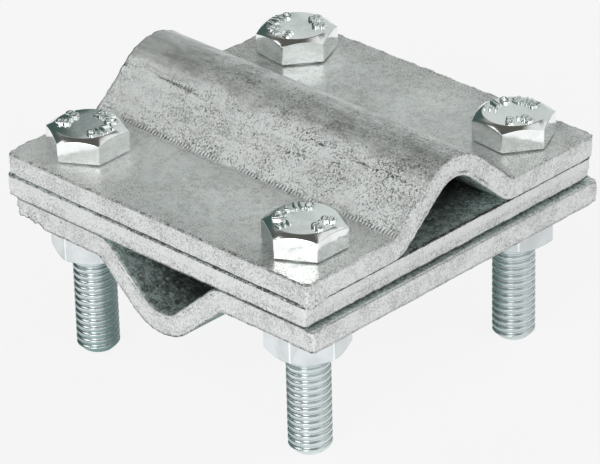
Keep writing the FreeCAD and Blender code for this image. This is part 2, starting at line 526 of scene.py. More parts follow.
    def seam_shade(self) -> Field:
        """Painted shade in the seams, on the side towards +X and on the right half of the one towards -Y.

        Returns:
            What they add to the level.
        """
        right = self.edge.ramp(0.40, 0.70, 0.0, self.finish.seam_shade) * self.x.ramp(26.8 * MM, 27.1 * MM)
        left = (self.edge.ramp(0.25, 0.50, 0.0, self.finish.seam_shade) * self.through.ramp(-0.9, -0.7, 1.0, 0.0)
                * self.y.ramp(-27.1 * MM, -26.8 * MM, 1.0, 0.0) * self.x.ramp(-12 * MM, 14 * MM))
        return left.at_most(right) * self.turned_in

    def foot_lines(self) -> Field:
        """Bright line at the foot of the ridge and a dark one above it.

        Returns:
            What they add to the level.
        """
        bright = self.length.line(self.finish.hatch_place + 0.9 * MM, 0.10 * MM, 0.35 * MM, 0.16)
        dark = self.length.line(self.finish.hatch_place - 0.8 * MM, 0.10 * MM, 0.35 * MM, -0.12)
        return (bright + dark) * self.outside

    def specks(self) -> Field:
        """Sparse raised specks of zinc, 0 to 1.

        Returns:
            1 on a speck.
        """
        cells = self.nodes.add("ShaderNodeTexVoronoi", Vector=self.place, Scale=per(1.0)).outputs
        chosen = self.nodes.field("ShaderNodeSeparateColor", Color=cells["Color"]).ramp(0.58, 0.60)
        return chosen * Field(self.nodes, cells["Distance"]).ramp(0.08, 0.20, 1.0, 0.0)

    def hatching(self) -> Field:
        """Height of the short press marks across the sheet where the wall meets the foot bend.

        Returns:
            The height in millimetres.
        """
        finish, nodes = self.finish, self.nodes
        wave = nodes.math("SINE", self.along * (2 * math.pi / finish.hatch_pitch))
        here = nodes.noise(nodes.field("ShaderNodeCombineXYZ", X=self.along), 5.0, 1.0, 0.5, 0.0, finish.seed + 15)
        return (wave * self.length.line(finish.hatch_place, 0.40 * MM, 0.60 * MM) * here.ramp(0.36, 0.52)
                * self.outside * finish.hatch_height)


@dataclass(frozen=True)
class BrightZinc:
    """Bright electroplated zinc of the bolts and nuts."""

    slot: str = "zinc_plated_steel"
    dark: float = 0.88
    light: float = 0.97
    gloss: float = 0.09
    dull: float = 0.17
    metal: float = 1.0
    groove_shade: float = 0.72
    thread_dull: float = 0.24
    # Level of the painted highlight on the nuts' corner edges.
    corner_highlight: float = 0.24
    tint: Triple = (0.972, 1.0, 0.99)
    thread_tint: Colour = (0.92, 1.0, 1.01, 1.0)
    seed: float = 0.0

    def build(self) -> Material:
        """Build the material.

        Returns:
            The finished material.
        """
        material, nodes = new_material("bright zinc %d" % round(self.seed))
        place = nodes.field("ShaderNodeTexCoord", "Object")
        clouds = nodes.noise(place, 3.4, 3.0, 0.55, 0.5, self.seed)
        grain = nodes.noise(place, 0.35, 3.0, 0.6, 0.0, self.seed + 2)
        cut = nodes.attribute(THREAD)
        level = clouds.ramp(0.35, 0.65, self.dark, self.light) * cut.between(1.0, self.groove_shade)
        # Painted highlight along the nuts' corner edges.
        level = level + nodes.attribute(CORNER_HIGHLIGHT).ramp(0.75, 1.0, 0.0, self.corner_highlight)
        tint = nodes.blend(cut.ramp(0.0, 0.05), (*self.tint, 1.0), self.thread_tint)
        roughness = (clouds * 0.7 + grain * 0.3).ramp(0.38, 0.62, self.dull, self.gloss)
        roughness = cut.ramp(0.0, 0.05, roughness, self.thread_dull)
        height = nodes.noise(place, 1.8, 1.0, 0.5, 0.0, self.seed + 4) * 0.010 + grain * 0.005
        nodes.surface(nodes.scaled(tint, level), self.metal, roughness, height)
        return material


def opened(mesh: Mesh) -> bmesh.types.BMesh:
    """Take up a mesh's faces to edit them.

    Args:
        mesh: The mesh.

    Returns:
        A form that holds its faces.
    """
    form = bmesh.new()
    form.from_mesh(mesh)
    return form


def closed(form: bmesh.types.BMesh, mesh: Mesh) -> Mesh:
    """Write a form into a mesh and free it.

    Args:
        form: The form.
        mesh: The mesh that takes its faces.

    Returns:
        The same mesh.
    """
    form.to_mesh(mesh)
    form.free()
    return mesh


def linked(name: str, data: bpy.types.ID) -> Object:
    """A new object for a mesh, curve or camera, in the scene, at the origin.

    Args:
        name: The object's name.
        data: What it holds.

    Returns:
        The object.
    """
    piece = bpy.data.objects.new(name, data)
    bpy.context.scene.collection.objects.link(piece)
    return piece


def baked(piece: Object) -> Object:
    """Turn an object's modifiers into its plain mesh.

    Args:
        piece: An object with live modifiers. It keeps its name and place.

    Returns:
        The same object, with the result as its mesh and no modifiers.
    """
    bpy.context.view_layer.update()
    graph = bpy.context.evaluated_depsgraph_get()
    mesh = bpy.data.meshes.new_from_object(piece.evaluated_get(graph), preserve_all_data_layers=True, depsgraph=graph)
    piece.modifiers.clear()
    old = piece.data
    piece.data = mesh
    bpy.data.meshes.remove(old)
    return piece


class Recipe:
    """A Geometry Nodes tree with named inputs, which ends in Realize Instances and Set Material."""

    def __init__(self, name: str, takes_mesh: bool) -> None:
        """Start a tree.

        Args:
            name: The tree's name.
            takes_mesh: Whether the tree works on the object's own mesh.
        """
        self.tree = bpy.data.node_groups.new(name, "GeometryNodeTree")
        self.nodes = Nodes(self.tree)
        self.tree.interface.new_socket("Geometry", in_out="OUTPUT", socket_type="NodeSocketGeometry")
        if takes_mesh:
            self.tree.interface.new_socket("Geometry", in_out="INPUT", socket_type="NodeSocketGeometry")
        self.identifiers: dict[str, str] = {}
        self.entry = self.nodes.add("NodeGroupInput")

    def entrance(self, name: str, kind: str) -> Field:
        """Add a named input and return its value inside the tree.

        Args:
            name: The input's name.
            kind: Type name of its socket.

        Returns:
            The input's value.
        """
        item = self.tree.interface.new_socket(name, in_out="INPUT", socket_type=kind)
        self.identifiers[name] = item.identifier
        return Field(self.nodes, self.entry.outputs[name])

    def numbers(self, *names: str) -> list[Field]:
        """Add named number inputs."""
        return [self.entrance(name, "NodeSocketFloat") for name in names]

    def close(self, geometry: Field) -> None:
        """End the tree on a geometry, with a material input.

        Args:
            geometry: What the tree gives out.
        """
        material = self.entrance("Material", "NodeSocketMaterial")
        real = self.nodes.field("GeometryNodeRealizeInstances", Geometry=geometry)
        dressed = self.nodes.field("GeometryNodeSetMaterial", Geometry=real, Material=material)
        self.nodes.add("NodeGroupOutput", Geometry=dressed)

    def apply(self, piece: Object, values: dict[str, object]) -> None:
        """Put the tree on an object as a modifier and set its inputs by identifier.

        Args:
            piece: The object.
            values: Each input's value by its name.
        """
        modifier = piece.modifiers.new(self.tree.name, "NODES")
        modifier.node_group = self.tree
        for name, value in values.items():
            modifier[self.identifiers[name]] = value


@dataclass(frozen=True)
class PressedSection:
    """Section across a grooved plate, measured from the plate's mid-surface, with the crown up."""

    thickness: float = 3.1 * MM
    depth: float = 7.5 * MM
    wall_angle: float = math.radians(41.5)
    crown_inner: float = 4.3 * MM
    foot_inner: float = 1.0 * MM

    def parts(self) -> Triple:
        """Mid-surface radius of the crown and of the foot, and the length of the straight wall.

        Returns:
            The three lengths.
        """
        half = self.thickness / 2
        crown, foot = self.crown_inner + half, self.foot_inner + half
        wall = (self.depth - (crown + foot) * (1 - math.cos(self.wall_angle))) / math.sin(self.wall_angle)
        return crown, foot, wall

    def unroll(self, across: np.ndarray, up: np.ndarray) -> tuple[np.ndarray, np.ndarray]:
        """Unroll points of the section onto the flat sheet.

        Args:
            across: Distance from the groove's middle.
            up: Height over the flange's mid-surface.

        Returns:
            The length along the mid-surface from the crown, and the place through the
            thickness from -1 on the lower face to 1 on the upper one.
        """
        crown, foot, wall = self.parts()
        sine, cosine = math.sin(self.wall_angle), math.cos(self.wall_angle)
        foot_start = (crown + foot) * sine + wall * cosine
        side = np.abs(across)
        crown_rise = up - (self.depth - crown)
        crown_turn = np.arctan2(side, crown_rise)
        foot_turn = np.arctan2(foot_start - side, foot - up)
        wall_start = np.array([crown * sine, self.depth - crown + crown * cosine])
        run = (side - wall_start[0]) * cosine - (up - wall_start[1]) * sine
        off_wall = (side - wall_start[0]) * sine + (up - wall_start[1]) * cosine

        length = crown * self.wall_angle + np.clip(run, 0, wall)
        offset = off_wall.copy()
        on_crown = (crown_turn < self.wall_angle) & (side < foot_start)
        length[on_crown] = crown * crown_turn[on_crown]
        offset[on_crown] = np.hypot(side, crown_rise)[on_crown] - crown
        on_foot = (foot_turn >= 0) & (foot_turn < self.wall_angle) & ~on_crown & (run > wall * 0.5)
        foot_begin = crown * self.wall_angle + wall
        length[on_foot] = foot_begin + foot * (self.wall_angle - foot_turn[on_foot])
        offset[on_foot] = foot - np.hypot(foot_start - side, foot - up)[on_foot]
        flange = side >= foot_start
        length[flange] = foot_begin + foot * self.wall_angle + side[flange] - foot_start
        offset[flange] = up[flange]
        return length, offset / (self.thickness / 2)

    def bend_end(self) -> float:
        """Length along the mid-surface at which the flange begins."""
        crown, foot, wall = self.parts()
        return (crown + foot) * self.wall_angle + wall


class Groove(Enum):
    """Which way a plate's groove runs and bulges."""

    ALONG_X_UP = "top"
    NONE = "middle"
    ALONG_Y_DOWN = "bottom"


@dataclass(frozen=True)
class Lump:
    """Local drip of the coat or a bite out of it, pushed in a direction. All in millimetres."""

    place: Triple
    reach: float
    push: Triple


@dataclass
class Plate:
    """One galvanised plate, made from its solid and given the relief of its zinc coat."""

    node: str
    groove: Groove
    finish: HotDipZinc
    lumps: tuple[Lump, ...] = ()
    waviness: float = 0.05 * MM
    rim_roughness: float = 0.10 * MM
    edge_wear: float = 0.14 * MM
    crease: float = 0.0
    corner_radius: float = 0.6 * MM
    corner_wear: float = 0.20 * MM
    corner_reach: float = 2.2 * MM
    corner_blend: float = 0.5 * MM
    lump_steepness: float = 1.3
    bend_margin: float = 1.0 * MM
    bend_fade: float = 1.6 * MM
    rim_depth: float = 0.25 * MM
    rim_band: float = 0.92
    edge_reach: float = 0.5 * MM
    octree_depth: int = 8
    octree_fill: float = 0.72
    section: PressedSection = PressedSection()

    def build(self, relief: Recipe) -> Object:
        """Build, dress and mount the plate.

        Args:
            relief: The relief recipe that all plates share.

        Returns:
            The finished piece.
        """
        piece = self.copy_solid()
        self.mark(piece.data)
        relief.apply(piece, {
            "Waviness": self.waviness, "Rim Roughness": self.rim_roughness, "Edge Wear": self.edge_wear,
            "Crease": self.crease, "Seed": self.finish.seed, "Material": self.finish.build(),
        })
        baked(piece)
        piece.data.shade_smooth()
        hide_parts(self.node)
        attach(piece, self.node)
        return piece

    def copy_solid(self) -> Object:
        """Copy the node's mesh, merged and meshed again with small even faces.

        Returns:
            The copy as a new object.
        """
        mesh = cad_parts[self.node].data.copy()
        form = opened(mesh)
        bmesh.ops.remove_doubles(form, verts=form.verts, dist=SLIVER)
        closed(form, mesh).materials.clear()
        piece = linked(self.node + "_zinc", mesh)
        remesh = piece.modifiers.new("even faces", "REMESH")
        remesh.mode = "SHARP"
        remesh.octree_depth = self.octree_depth
        remesh.scale = self.octree_fill
        remesh.use_remove_disconnected = False
        return baked(piece)

    def mark(self, mesh: Mesh) -> None:
        """Store where each point lies on the sheet, for the relief and the material.

        Args:
            mesh: The plate's mesh.
        """
        count = len(mesh.vertices)
        points = np.empty(count * 3)
        mesh.vertices.foreach_get("co", points)
        points = points.reshape(-1, 3)
        lowest, highest = (np.array(corner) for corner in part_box(self.node))
        reach = (highest[0] - lowest[0]) / 2
        half = self.section.thickness / 2
        aside = points - (lowest + highest) / 2
        down = self.groove is Groove.ALONG_Y_DOWN
        along, across = (aside[:, 1], aside[:, 0]) if down else (aside[:, 0], aside[:, 1])
        up = highest[2] - half - points[:, 2] if down else points[:, 2] - lowest[2] - half
        aside[:, 2] = -up if down else up
        if self.groove is Groove.NONE:
            length, through, bend = np.abs(across), up / half, np.zeros(count)
        else:
            length, through = self.section.unroll(across, up)
            bend = 1 - np.clip((length - self.section.bend_end() + self.bend_margin) / self.bend_fade, 0, 1)
        corner = reach - self.corner_radius
        beyond = [np.maximum(np.abs(part) - corner, 0) for part in (along, across)]
        inwards = self.corner_radius - np.hypot(*beyond)
        rim = 1 - np.clip(inwards / self.rim_depth, 0, 1)
        from_face = np.maximum(1 - np.abs(through), 0) * half
        store(mesh, SHEET, np.stack([along, length, through], axis=1))
        store(mesh, BEND, bend)
        store(mesh, RIM, rim * (np.abs(through) < self.rim_band))
        store(mesh, EDGE, np.clip(1 - np.hypot(np.maximum(inwards, 0), from_face) / self.edge_reach, 0, 1))
        push = self.corner_push(aside, reach, from_face)
        crust = np.zeros(count)
        for item in self.lumps:
            away = np.linalg.norm(points / MM - np.array(item.place), axis=1)
            nearness = np.clip(self.lump_steepness * (1 - away / item.reach), 0, 1)
            push += nearness[:, None] * np.array(item.push) * MM
            crust = np.maximum(crust, nearness)
        store(mesh, LUMP, push)
        store(mesh, CRUST, crust)

    def corner_push(self, aside: np.ndarray, reach: float, from_face: np.ndarray) -> np.ndarray:
        """Offsets that round the plate's left and right corners.

        Args:
            aside: Place of each point from the plate's middle.
            reach: Distance from the middle to each rim.
            from_face: Depth of each point under the nearer face.

        Returns:
            One offset for each point, towards the inside.
        """
        away = np.sqrt((reach - np.abs(aside[:, 0])) ** 2 + (reach - np.abs(aside[:, 1])) ** 2 + from_face ** 2)
        nearness = np.clip(1 - away / self.corner_reach, 0, 1) * (aside[:, 0] * aside[:, 1] > 0)
        return -np.tanh(aside / self.corner_blend) * nearness[:, None] * self.corner_wear


def store(mesh: Mesh, name: str, values: np.ndarray) -> None:
    """Store numbers or vectors on a mesh's points under a name.

    Args:
        mesh: The mesh.
        name: The attribute's name.
        values: A number or a vector for each point.
    """
    vector = values.ndim == 2
    layer = mesh.attributes.new(name, "FLOAT_VECTOR" if vector else "FLOAT", "POINT")
    layer.data.foreach_set("vector" if vector else "value", values.astype(np.float32).ravel())


def zinc_relief() -> Recipe:
    """Recipe that lifts a plate's points by the waves, grit and worn edges of its zinc coat.

    Returns:
        The recipe, with its inputs in metres.
    """
    recipe = Recipe("zinc relief", takes_mesh=True)
    nodes = recipe.nodes
    waviness, rim_roughness, edge_wear, crease, seed = recipe.numbers(
        "Waviness", "Rim Roughness", "Edge Wear", "Crease", "Seed")
    place = nodes.field("GeometryNodeInputPosition")
    normal = nodes.field("GeometryNodeInputNormal")
    rim, edge = nodes.stored(RIM), nodes.stored(EDGE)
    through = nodes.axes(nodes.stored(SHEET, "FLOAT_VECTOR"))[2]

    def noise(feature_mm: float, detail: float = 3.0) -> Field:
        """Noise whose draw follows the seed input."""
        return nodes.noise(place, feature_mm, detail, 0.55, 0.0, seed * 1.7)

    waves = (noise(8.0, 2.0) - 0.5) * 2.0 * waviness
    rough = (noise(0.9) - 0.5) * 2.0 * rim_roughness * rim
    under = nodes.axes(normal)[2].ramp(-0.5, -0.2, 0.4, 1.0)
    worn = noise(1.3).ramp(0.35, 0.65, 0.7, -0.6) * edge_wear * edge * under
    step = (through + (noise(5.0) - 0.5) * 0.7).ramp(-0.12, 0.02, -1.0, 0.0) * crease * rim
    lump = nodes.scaled(nodes.stored(LUMP, "FLOAT_VECTOR"), noise(1.2).ramp(0.38, 0.62, 0.4, 1.15))
    offset = nodes.vector_math("ADD", nodes.scaled(normal, waves + rough + worn + step), lump)
    recipe.close(nodes.field("GeometryNodeSetPosition", Geometry=recipe.entry.outputs["Geometry"], Offset=offset))
    return recipe


@dataclass(frozen=True)
class Corner:
    """One bolt position: its name, how its hexagons and marks stand in degrees, and its seed."""

    name: str
    head_turn: float
    nut_turn: float
    grade_turn: float
    strokes_turn: float
    seed: float


class Corners(Enum):
    """The four corners, named as the photograph shows them."""

    FRONT = Corner("front", 30.0, 50.0, 8.0, 190.0, 21.0)
    LEFT = Corner("left", 32.0, 36.0, 196.0, 35.0, 22.0)
    BACK = Corner("back", 53.0, 8.0, 58.0, 225.0, 23.0)
    RIGHT = Corner("right", 55.0, 18.0, 325.0, 140.0, 24.0)


class Lathe:
    """Hexagonal columns of points round the Z axis, whose rows are joined into a skin."""

    def __init__(self, turn_degrees: float, across_flats: float) -> None:
        """Set the columns.

        Args:
            turn_degrees: Angle from +X to the hexagon's first corner.
            across_flats: Width of the hexagon across its flats.
        """
        steps = np.arange(HEX_SIDES * COLUMNS_PER_SIDE) / COLUMNS_PER_SIDE
        self.angles = math.radians(turn_degrees) + steps * 2 * HALF_SIDE
        self.reach = across_flats / 2 / np.cos((steps % 1) * 2 * HALF_SIDE - HALF_SIDE)

    def mesh(self, name: str, centre: Vector, rows: tuple[tuple[object, object], ...], ring: bool) -> Mesh:
        """Join rows into a mesh.

        Args:
            name: The mesh's name.
            centre: Where the axis stands.
            rows: Radius and height of each row, each one number or one for each column.
            ring: Whether the last row joins the first. Otherwise each end closes on a pole.

        Returns:
            The mesh, with its faces outwards.
        """
        form = bmesh.new()
        count = len(self.angles)
        ones = np.ones(count)
        loops = [[form.verts.new((centre.x + r * math.cos(a), centre.y + r * math.sin(a), centre.z + z))
                  for r, z, a in zip(ones * radius, ones * height, self.angles)] for radius, height in rows]
        for lower, upper in zip(loops, loops[1:] + loops[:1] if ring else loops[1:]):
            for index in range(count):
                after = (index + 1) % count
                form.faces.new((lower[index], lower[after], upper[after], upper[index]))
        for loop in () if ring else (loops[0], loops[-1]):
            pole = form.verts.new((centre.x, centre.y, loop[0].co.z))
            for index in range(count):
                form.faces.new((loop[index], loop[(index + 1) % count], pole))
        bmesh.ops.remove_doubles(form, verts=form.verts, dist=MERGE)
        bmesh.ops.recalc_face_normals(form, faces=form.faces)
        return closed(form, bpy.data.meshes.new(name))


def eased(piece: Object) -> Object:
    """Round an object's sharp edges and keep its flats flat to the eye.

    Args:
        piece: The object.

    Returns:
        The same object.
    """
    bevel = piece.modifiers.new("eased edges", "BEVEL")
    bevel.width = EASED_EDGE
    bevel.segments = 2
    bevel.limit_method = "ANGLE"
    bevel.angle_limit = SHARP_ANGLE
    bevel.use_clamp_overlap = True
    piece.data.shade_smooth()
    piece.modifiers.new("flat flats", "WEIGHTED_NORMAL").weight = FLAT_WEIGHT
    return baked(piece)


def upright(node: str) -> tuple[Vector, float, float]:
    """Foot of a node's upright axis at height zero, and the node's lowest and highest levels."""
    lowest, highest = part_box(node)
    return Vector(((lowest.x + highest.x) / 2, (lowest.y + highest.y) / 2, 0)), lowest.z, highest.z


def joined(name: str, pieces: list[Object]) -> Object:
    """Join several objects into the first one and give it a name.

    Args:
        name: The name.
        pieces: The objects.

    Returns:
        The first object, which holds them all.
    """
    with bpy.context.temp_override(active_object=pieces[0], selected_editable_objects=pieces):
        bpy.ops.object.join()
    pieces[0].name = name
    pieces[0].data.name = name
    return pieces[0]


@dataclass(frozen=True)
class Thread:
    """Rolled metric thread with rounded crests and narrow grooves."""

    crest: float = 2.95 * MM
    depth: float = 0.32 * MM
    pitch: float = 1.0 * MM
    groove: float = 0.66
    tip: float = 2.15 * MM
    tip_length: float = 0.80 * MM
    crest_shade: float = 0.12
    weld: float = 0.004 * MM
    columns: int = 52
    rows: int = 12

    def recipe(self) -> Recipe:
        """Build the recipe that winds a flat strip into a threaded rod.

        Returns:
            The recipe. Its rod stands on height zero with its axis on Z.
        """
        recipe = Recipe("rolled thread", takes_mesh=False)
        nodes = recipe.nodes
        crest, depth, pitch, length, tip, tip_length, centre_x, centre_y = recipe.numbers(
            "Crest Radius", "Depth", "Pitch", "Length", "Tip Radius", "Tip Length", "Centre X", "Centre Y")
        turns = nodes.math("CEIL", length / pitch) + 2.0
        strip = nodes.field("GeometryNodeMeshGrid", "Mesh", Size_X=turns, Size_Y=1.0, Vertices_Y=self.rows + 1,
                            Vertices_X=turns * float(self.columns) + 1.0)
        flat_x, flat_y, _ = nodes.axes(nodes.field("GeometryNodeInputPosition"))
        turn = flat_x + turns * 0.5
        phase = flat_y + 0.5
        height = ((turn + phase - 1.0) * pitch).at_least(0.0).at_most(length)
        cut = phase.line(0.5, 0.04, self.groove / 2)
        cone = tip + (crest - tip) / tip_length * height.at_most(length - height)
        radius = (crest - depth * cut).at_most(cone)
        angle = turn * (2 * math.pi)
        spot = nodes.field("ShaderNodeCombineXYZ", X=centre_x + radius * nodes.math("COSINE", angle),
                           Y=centre_y + radius * nodes.math("SINE", angle), Z=height)
        wall = nodes.field("GeometryNodeSetPosition", Geometry=strip, Position=spot)
        shaded = nodes.add("GeometryNodeStoreNamedAttribute", {"data_type": "FLOAT", "domain": "POINT"},
                           Geometry=wall, Name=THREAD)
        value = next(socket for socket in shaded.inputs if socket.enabled and socket.name == "Value")
        nodes.plug(value, cut.ramp(0.5, 1.0, self.crest_shade, 1.0))
        recipe.close(self.capped(nodes, shaded.outputs[0], tip, length, centre_x, centre_y))
        return recipe

    def capped(self, nodes: Nodes, wall: Socket, tip: Field, length: Field, centre_x: Field,
               centre_y: Field) -> Field:
        """Close the rod with a disc at each end and merge what meets.

        Args:
            nodes: The recipe's nodes.
            wall: The wound strip.
            tip: Radius of the ends.
            length: Length of the rod.
            centre_x: Where the axis stands along X.
            centre_y: Where it stands along Y.

        Returns:
            The closed rod.
        """
        whole = nodes.add("GeometryNodeJoinGeometry")
        nodes.plug(whole.inputs[0], wall)
        for height in (0.0, length):
            disc = nodes.add("GeometryNodeMeshCircle", {"fill_type": "TRIANGLE_FAN"}, Vertices=self.columns,
                             Radius=tip)
            spot = nodes.field("ShaderNodeCombineXYZ", X=centre_x, Y=centre_y, Z=height)
            nodes.plug(whole.inputs[0], nodes.field("GeometryNodeTransform", Geometry=disc.outputs[0],
                                                    Translation=spot))
        merged = nodes.field("GeometryNodeMergeByDistance", Geometry=whole.outputs[0], Distance=self.weld)
        return nodes.field("GeometryNodeSetShadeSmooth", Geometry=merged)

    def rod(self, name: str, recipe: Recipe, length: float, centre: Vector,
            material: Material) -> Object:
        """Wind one threaded rod.

        Args:
            name: The object's name.
            recipe: The shared thread recipe.
            length: Length of the rod.
            centre: Where its axis stands.
            material: Its finish.

        Returns:
            The rod, with its faces outwards.
        """
        rod = linked(name, bpy.data.meshes.new(name))
        recipe.apply(rod, {
            "Crest Radius": self.crest, "Depth": self.depth, "Pitch": self.pitch, "Length": length,
            "Tip Radius": self.tip, "Tip Length": self.tip_length, "Centre X": centre.x, "Centre Y": centre.y,
            "Material": material,
        })
        form = opened(baked(rod).data)
        bmesh.ops.dissolve_degenerate(form, edges=form.edges, dist=SLIVER)
        bmesh.ops.recalc_face_normals(form, faces=form.faces)
        closed(form, rod.data)
        return rod


@dataclass(frozen=True)
class HeadMarks:
    """Raised marks on a bolt head: the strength grade in numerals and a row of plain strokes."""

    grade: str = "8.8"
    ring_radius: float = 3.20 * MM
    height: float = 1.90 * MM
    relief: float = 0.30 * MM
    stroke: float = 0.34 * MM
    easing: float = 0.09 * MM
    sunk: float = 0.10 * MM
    spacing: float = math.radians(27)
    grade_spacing: float = math.radians(21.6)
    type_scale: float = 1.42
    type_swell: float = 0.02 * MM
    half_width: float = 0.38 * MM
    strokes: int = 6

    def build(self, corner: Corner, centre: Vector) -> list[Object]:
        """Build the marks of one head.

        Args:
            corner: The corner whose head carries them.
            centre: Middle of the head's top face.

        Returns:
            The marks as mesh objects.
        """
        marks = []
        middle = (len(self.grade) - 1) / 2
        for index, sign in enumerate(self.grade):
            angle = math.radians(corner.grade_turn) - (index - middle) * self.grade_spacing
            marks.append(self.placed(self.numeral(sign), centre, angle))
        for index in range(self.strokes):
            angle = math.radians(corner.strokes_turn) + (index - (self.strokes - 1) / 2) * self.spacing
            marks.append(self.placed(self.bars(index), centre, angle))
        return marks

    def numeral(self, sign: str) -> Mesh:
        """Mesh of one raised numeral, flat on the ground and centred.

        Args:
            sign: The numeral.

        Returns:
            The mesh.
        """
        curve = bpy.data.curves.new("numeral", "FONT")
        for name, value in (("body", sign), ("size", self.height * self.type_scale), ("align_x", "CENTER"),
                            ("extrude", (self.relief + self.sunk) / 2), ("bevel_depth", self.easing),
                            ("bevel_resolution", 1), ("offset", self.type_swell), ("resolution_u", 4)):
            setattr(curve, name, value)
        holder = linked("numeral", curve)
        bpy.context.view_layer.update()
        mesh = bpy.data.meshes.new_from_object(holder.evaluated_get(bpy.context.evaluated_depsgraph_get()))
        bpy.data.objects.remove(holder)
        mesh.transform(Matrix.Translation((0, -self.height / 2, (self.relief - self.sunk) / 2)))
        form = opened(mesh)
        bmesh.ops.remove_doubles(form, verts=form.verts, dist=MERGE)
        bmesh.ops.recalc_face_normals(form, faces=form.faces)
        return closed(form, mesh)

    def bars(self, index: int) -> Mesh:
        """Mesh of one plain sign made of strokes, another for each place in the row.

        Args:
            index: The place in the row.

        Returns:
            The mesh.
        """
        half, wide = (self.height - self.stroke) / 2, self.half_width
        ring = tuple((1.25 * wide * math.cos(step * math.pi / 4), half * math.sin(step * math.pi / 4))
                     for step in range(9))
        layouts = (
            (ring,),
            (((-wide, -half), (-wide, half)), ((wide, -half), (wide, half))),
            (((wide, half), (-wide, 0), (wide, -half)),),
            (ring,),
            (((-wide, -half), (0, half)), ((wide * 0.2, -half), (wide * 1.2, half))),
            (((-wide, half), (wide, half)), ((-wide, 0), (wide, 0)), ((-wide, -half), (wide, -half))),
        )
        form = bmesh.new()
        for path in layouts[index % len(layouts)]:
            for start, end in zip(path, path[1:]):
                run = Vector((*end, 0)) - Vector((*start, 0))
                made = bmesh.ops.create_cube(form, size=1.0)["verts"]
                size = Vector((run.length + self.stroke, self.stroke, self.relief + self.sunk))
                middle = Vector(((start[0] + end[0]) / 2, (start[1] + end[1]) / 2, (self.relief - self.sunk) / 2))
                turn = Euler((0, 0, math.atan2(run.y, run.x))).to_matrix().to_4x4()
                bmesh.ops.transform(form, matrix=Matrix.Translation(middle) @ turn @ Matrix.Diagonal((*size, 1)),
                                    verts=made)
        bmesh.ops.bevel(form, geom=form.edges[:], offset=self.easing, segments=2, affect="EDGES", profile=0.5)
        return closed(form, bpy.data.meshes.new("bars"))

    def placed(self, mesh: Mesh, centre: Vector, angle: float) -> Object:
        """Set a mark on the ring, its foot towards the head's middle.

        Args:
            mesh: The mark, flat on the ground.
            centre: Middle of the head's top face.
            angle: Where it stands on the ring.

        Returns:
            The mark as an object.
        """
        turn = Matrix.Rotation(angle - math.pi / 2, 4, "Z")
        mesh.transform(Matrix.Translation(centre) @ turn @ Matrix.Translation((0, self.ring_radius, 0)))
        mesh.shade_smooth()
        piece = linked("mark", mesh)
        piece.modifiers.new("flat flats", "WEIGHTED_NORMAL").weight = FLAT_WEIGHT
        return baked(piece)


@dataclass
class HexBolt:
    """Zinc-plated hexagon bolt: chamfered head with marks over a bearing face, and a threaded shank."""

    corner: Corner
    finish: BrightZinc
    thread: Thread = Thread()
    marks: HeadMarks = HeadMarks()
    across_flats: float = 10.0 * MM
    head_height: float = 4.0 * MM
    bearing_radius: float = 4.5 * MM
    bearing_height: float = 0.20 * MM
    top_radius: float = 4.36 * MM
    chamfer: float = math.radians(28)
    shank_overlap: float = 0.6 * MM

    def build(self, thread_recipe: Recipe) -> Object:
        """Build, dress and mount the bolt.

        Args:
            thread_recipe: The thread recipe that all bolts share.

        Returns:
            The finished piece.
        """
        node = "bolt_" + self.corner.name
        centre, _, top = upright(node)
        seat = top - self.head_height
        material = self.finish.build()
        head = eased(linked("head", self.head_mesh(centre, seat)))
        marks = self.marks.build(self.corner, centre + Vector((0, 0, top - self.marks.relief)))
        for part in (head, *marks):
            part.data.materials.clear()
            part.data.materials.append(material)
        rod = self.thread.rod("rod", thread_recipe, seat + self.shank_overlap, centre, material)
        piece = joined(node + "_zinc", [head, rod, *marks])
        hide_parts(node)
        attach(piece, node)
        return piece

    def head_mesh(self, centre: Vector, seat: float) -> Mesh:
        """Skin of the head from its bearing face to its top face.

        Args:
            centre: Foot of the axis.
            seat: Level of the bearing face.

        Returns:
            The mesh.
        """
        top = seat + self.head_height - self.marks.relief
        flats = seat + self.bearing_height
        slope = math.tan(self.chamfer)
        lathe = Lathe(self.corner.head_turn, self.across_flats)
        reach = lathe.reach
        rows = ((self.thread.tip * 0.5, seat), (self.bearing_radius, seat), (self.bearing_radius, flats),
                (reach, flats), (reach, top - (reach - self.top_radius) * slope),
                (self.top_radius, top), (self.top_radius * 0.6, top), (self.top_radius * 0.2, top))
        return lathe.mesh("head", centre, rows, ring=False)


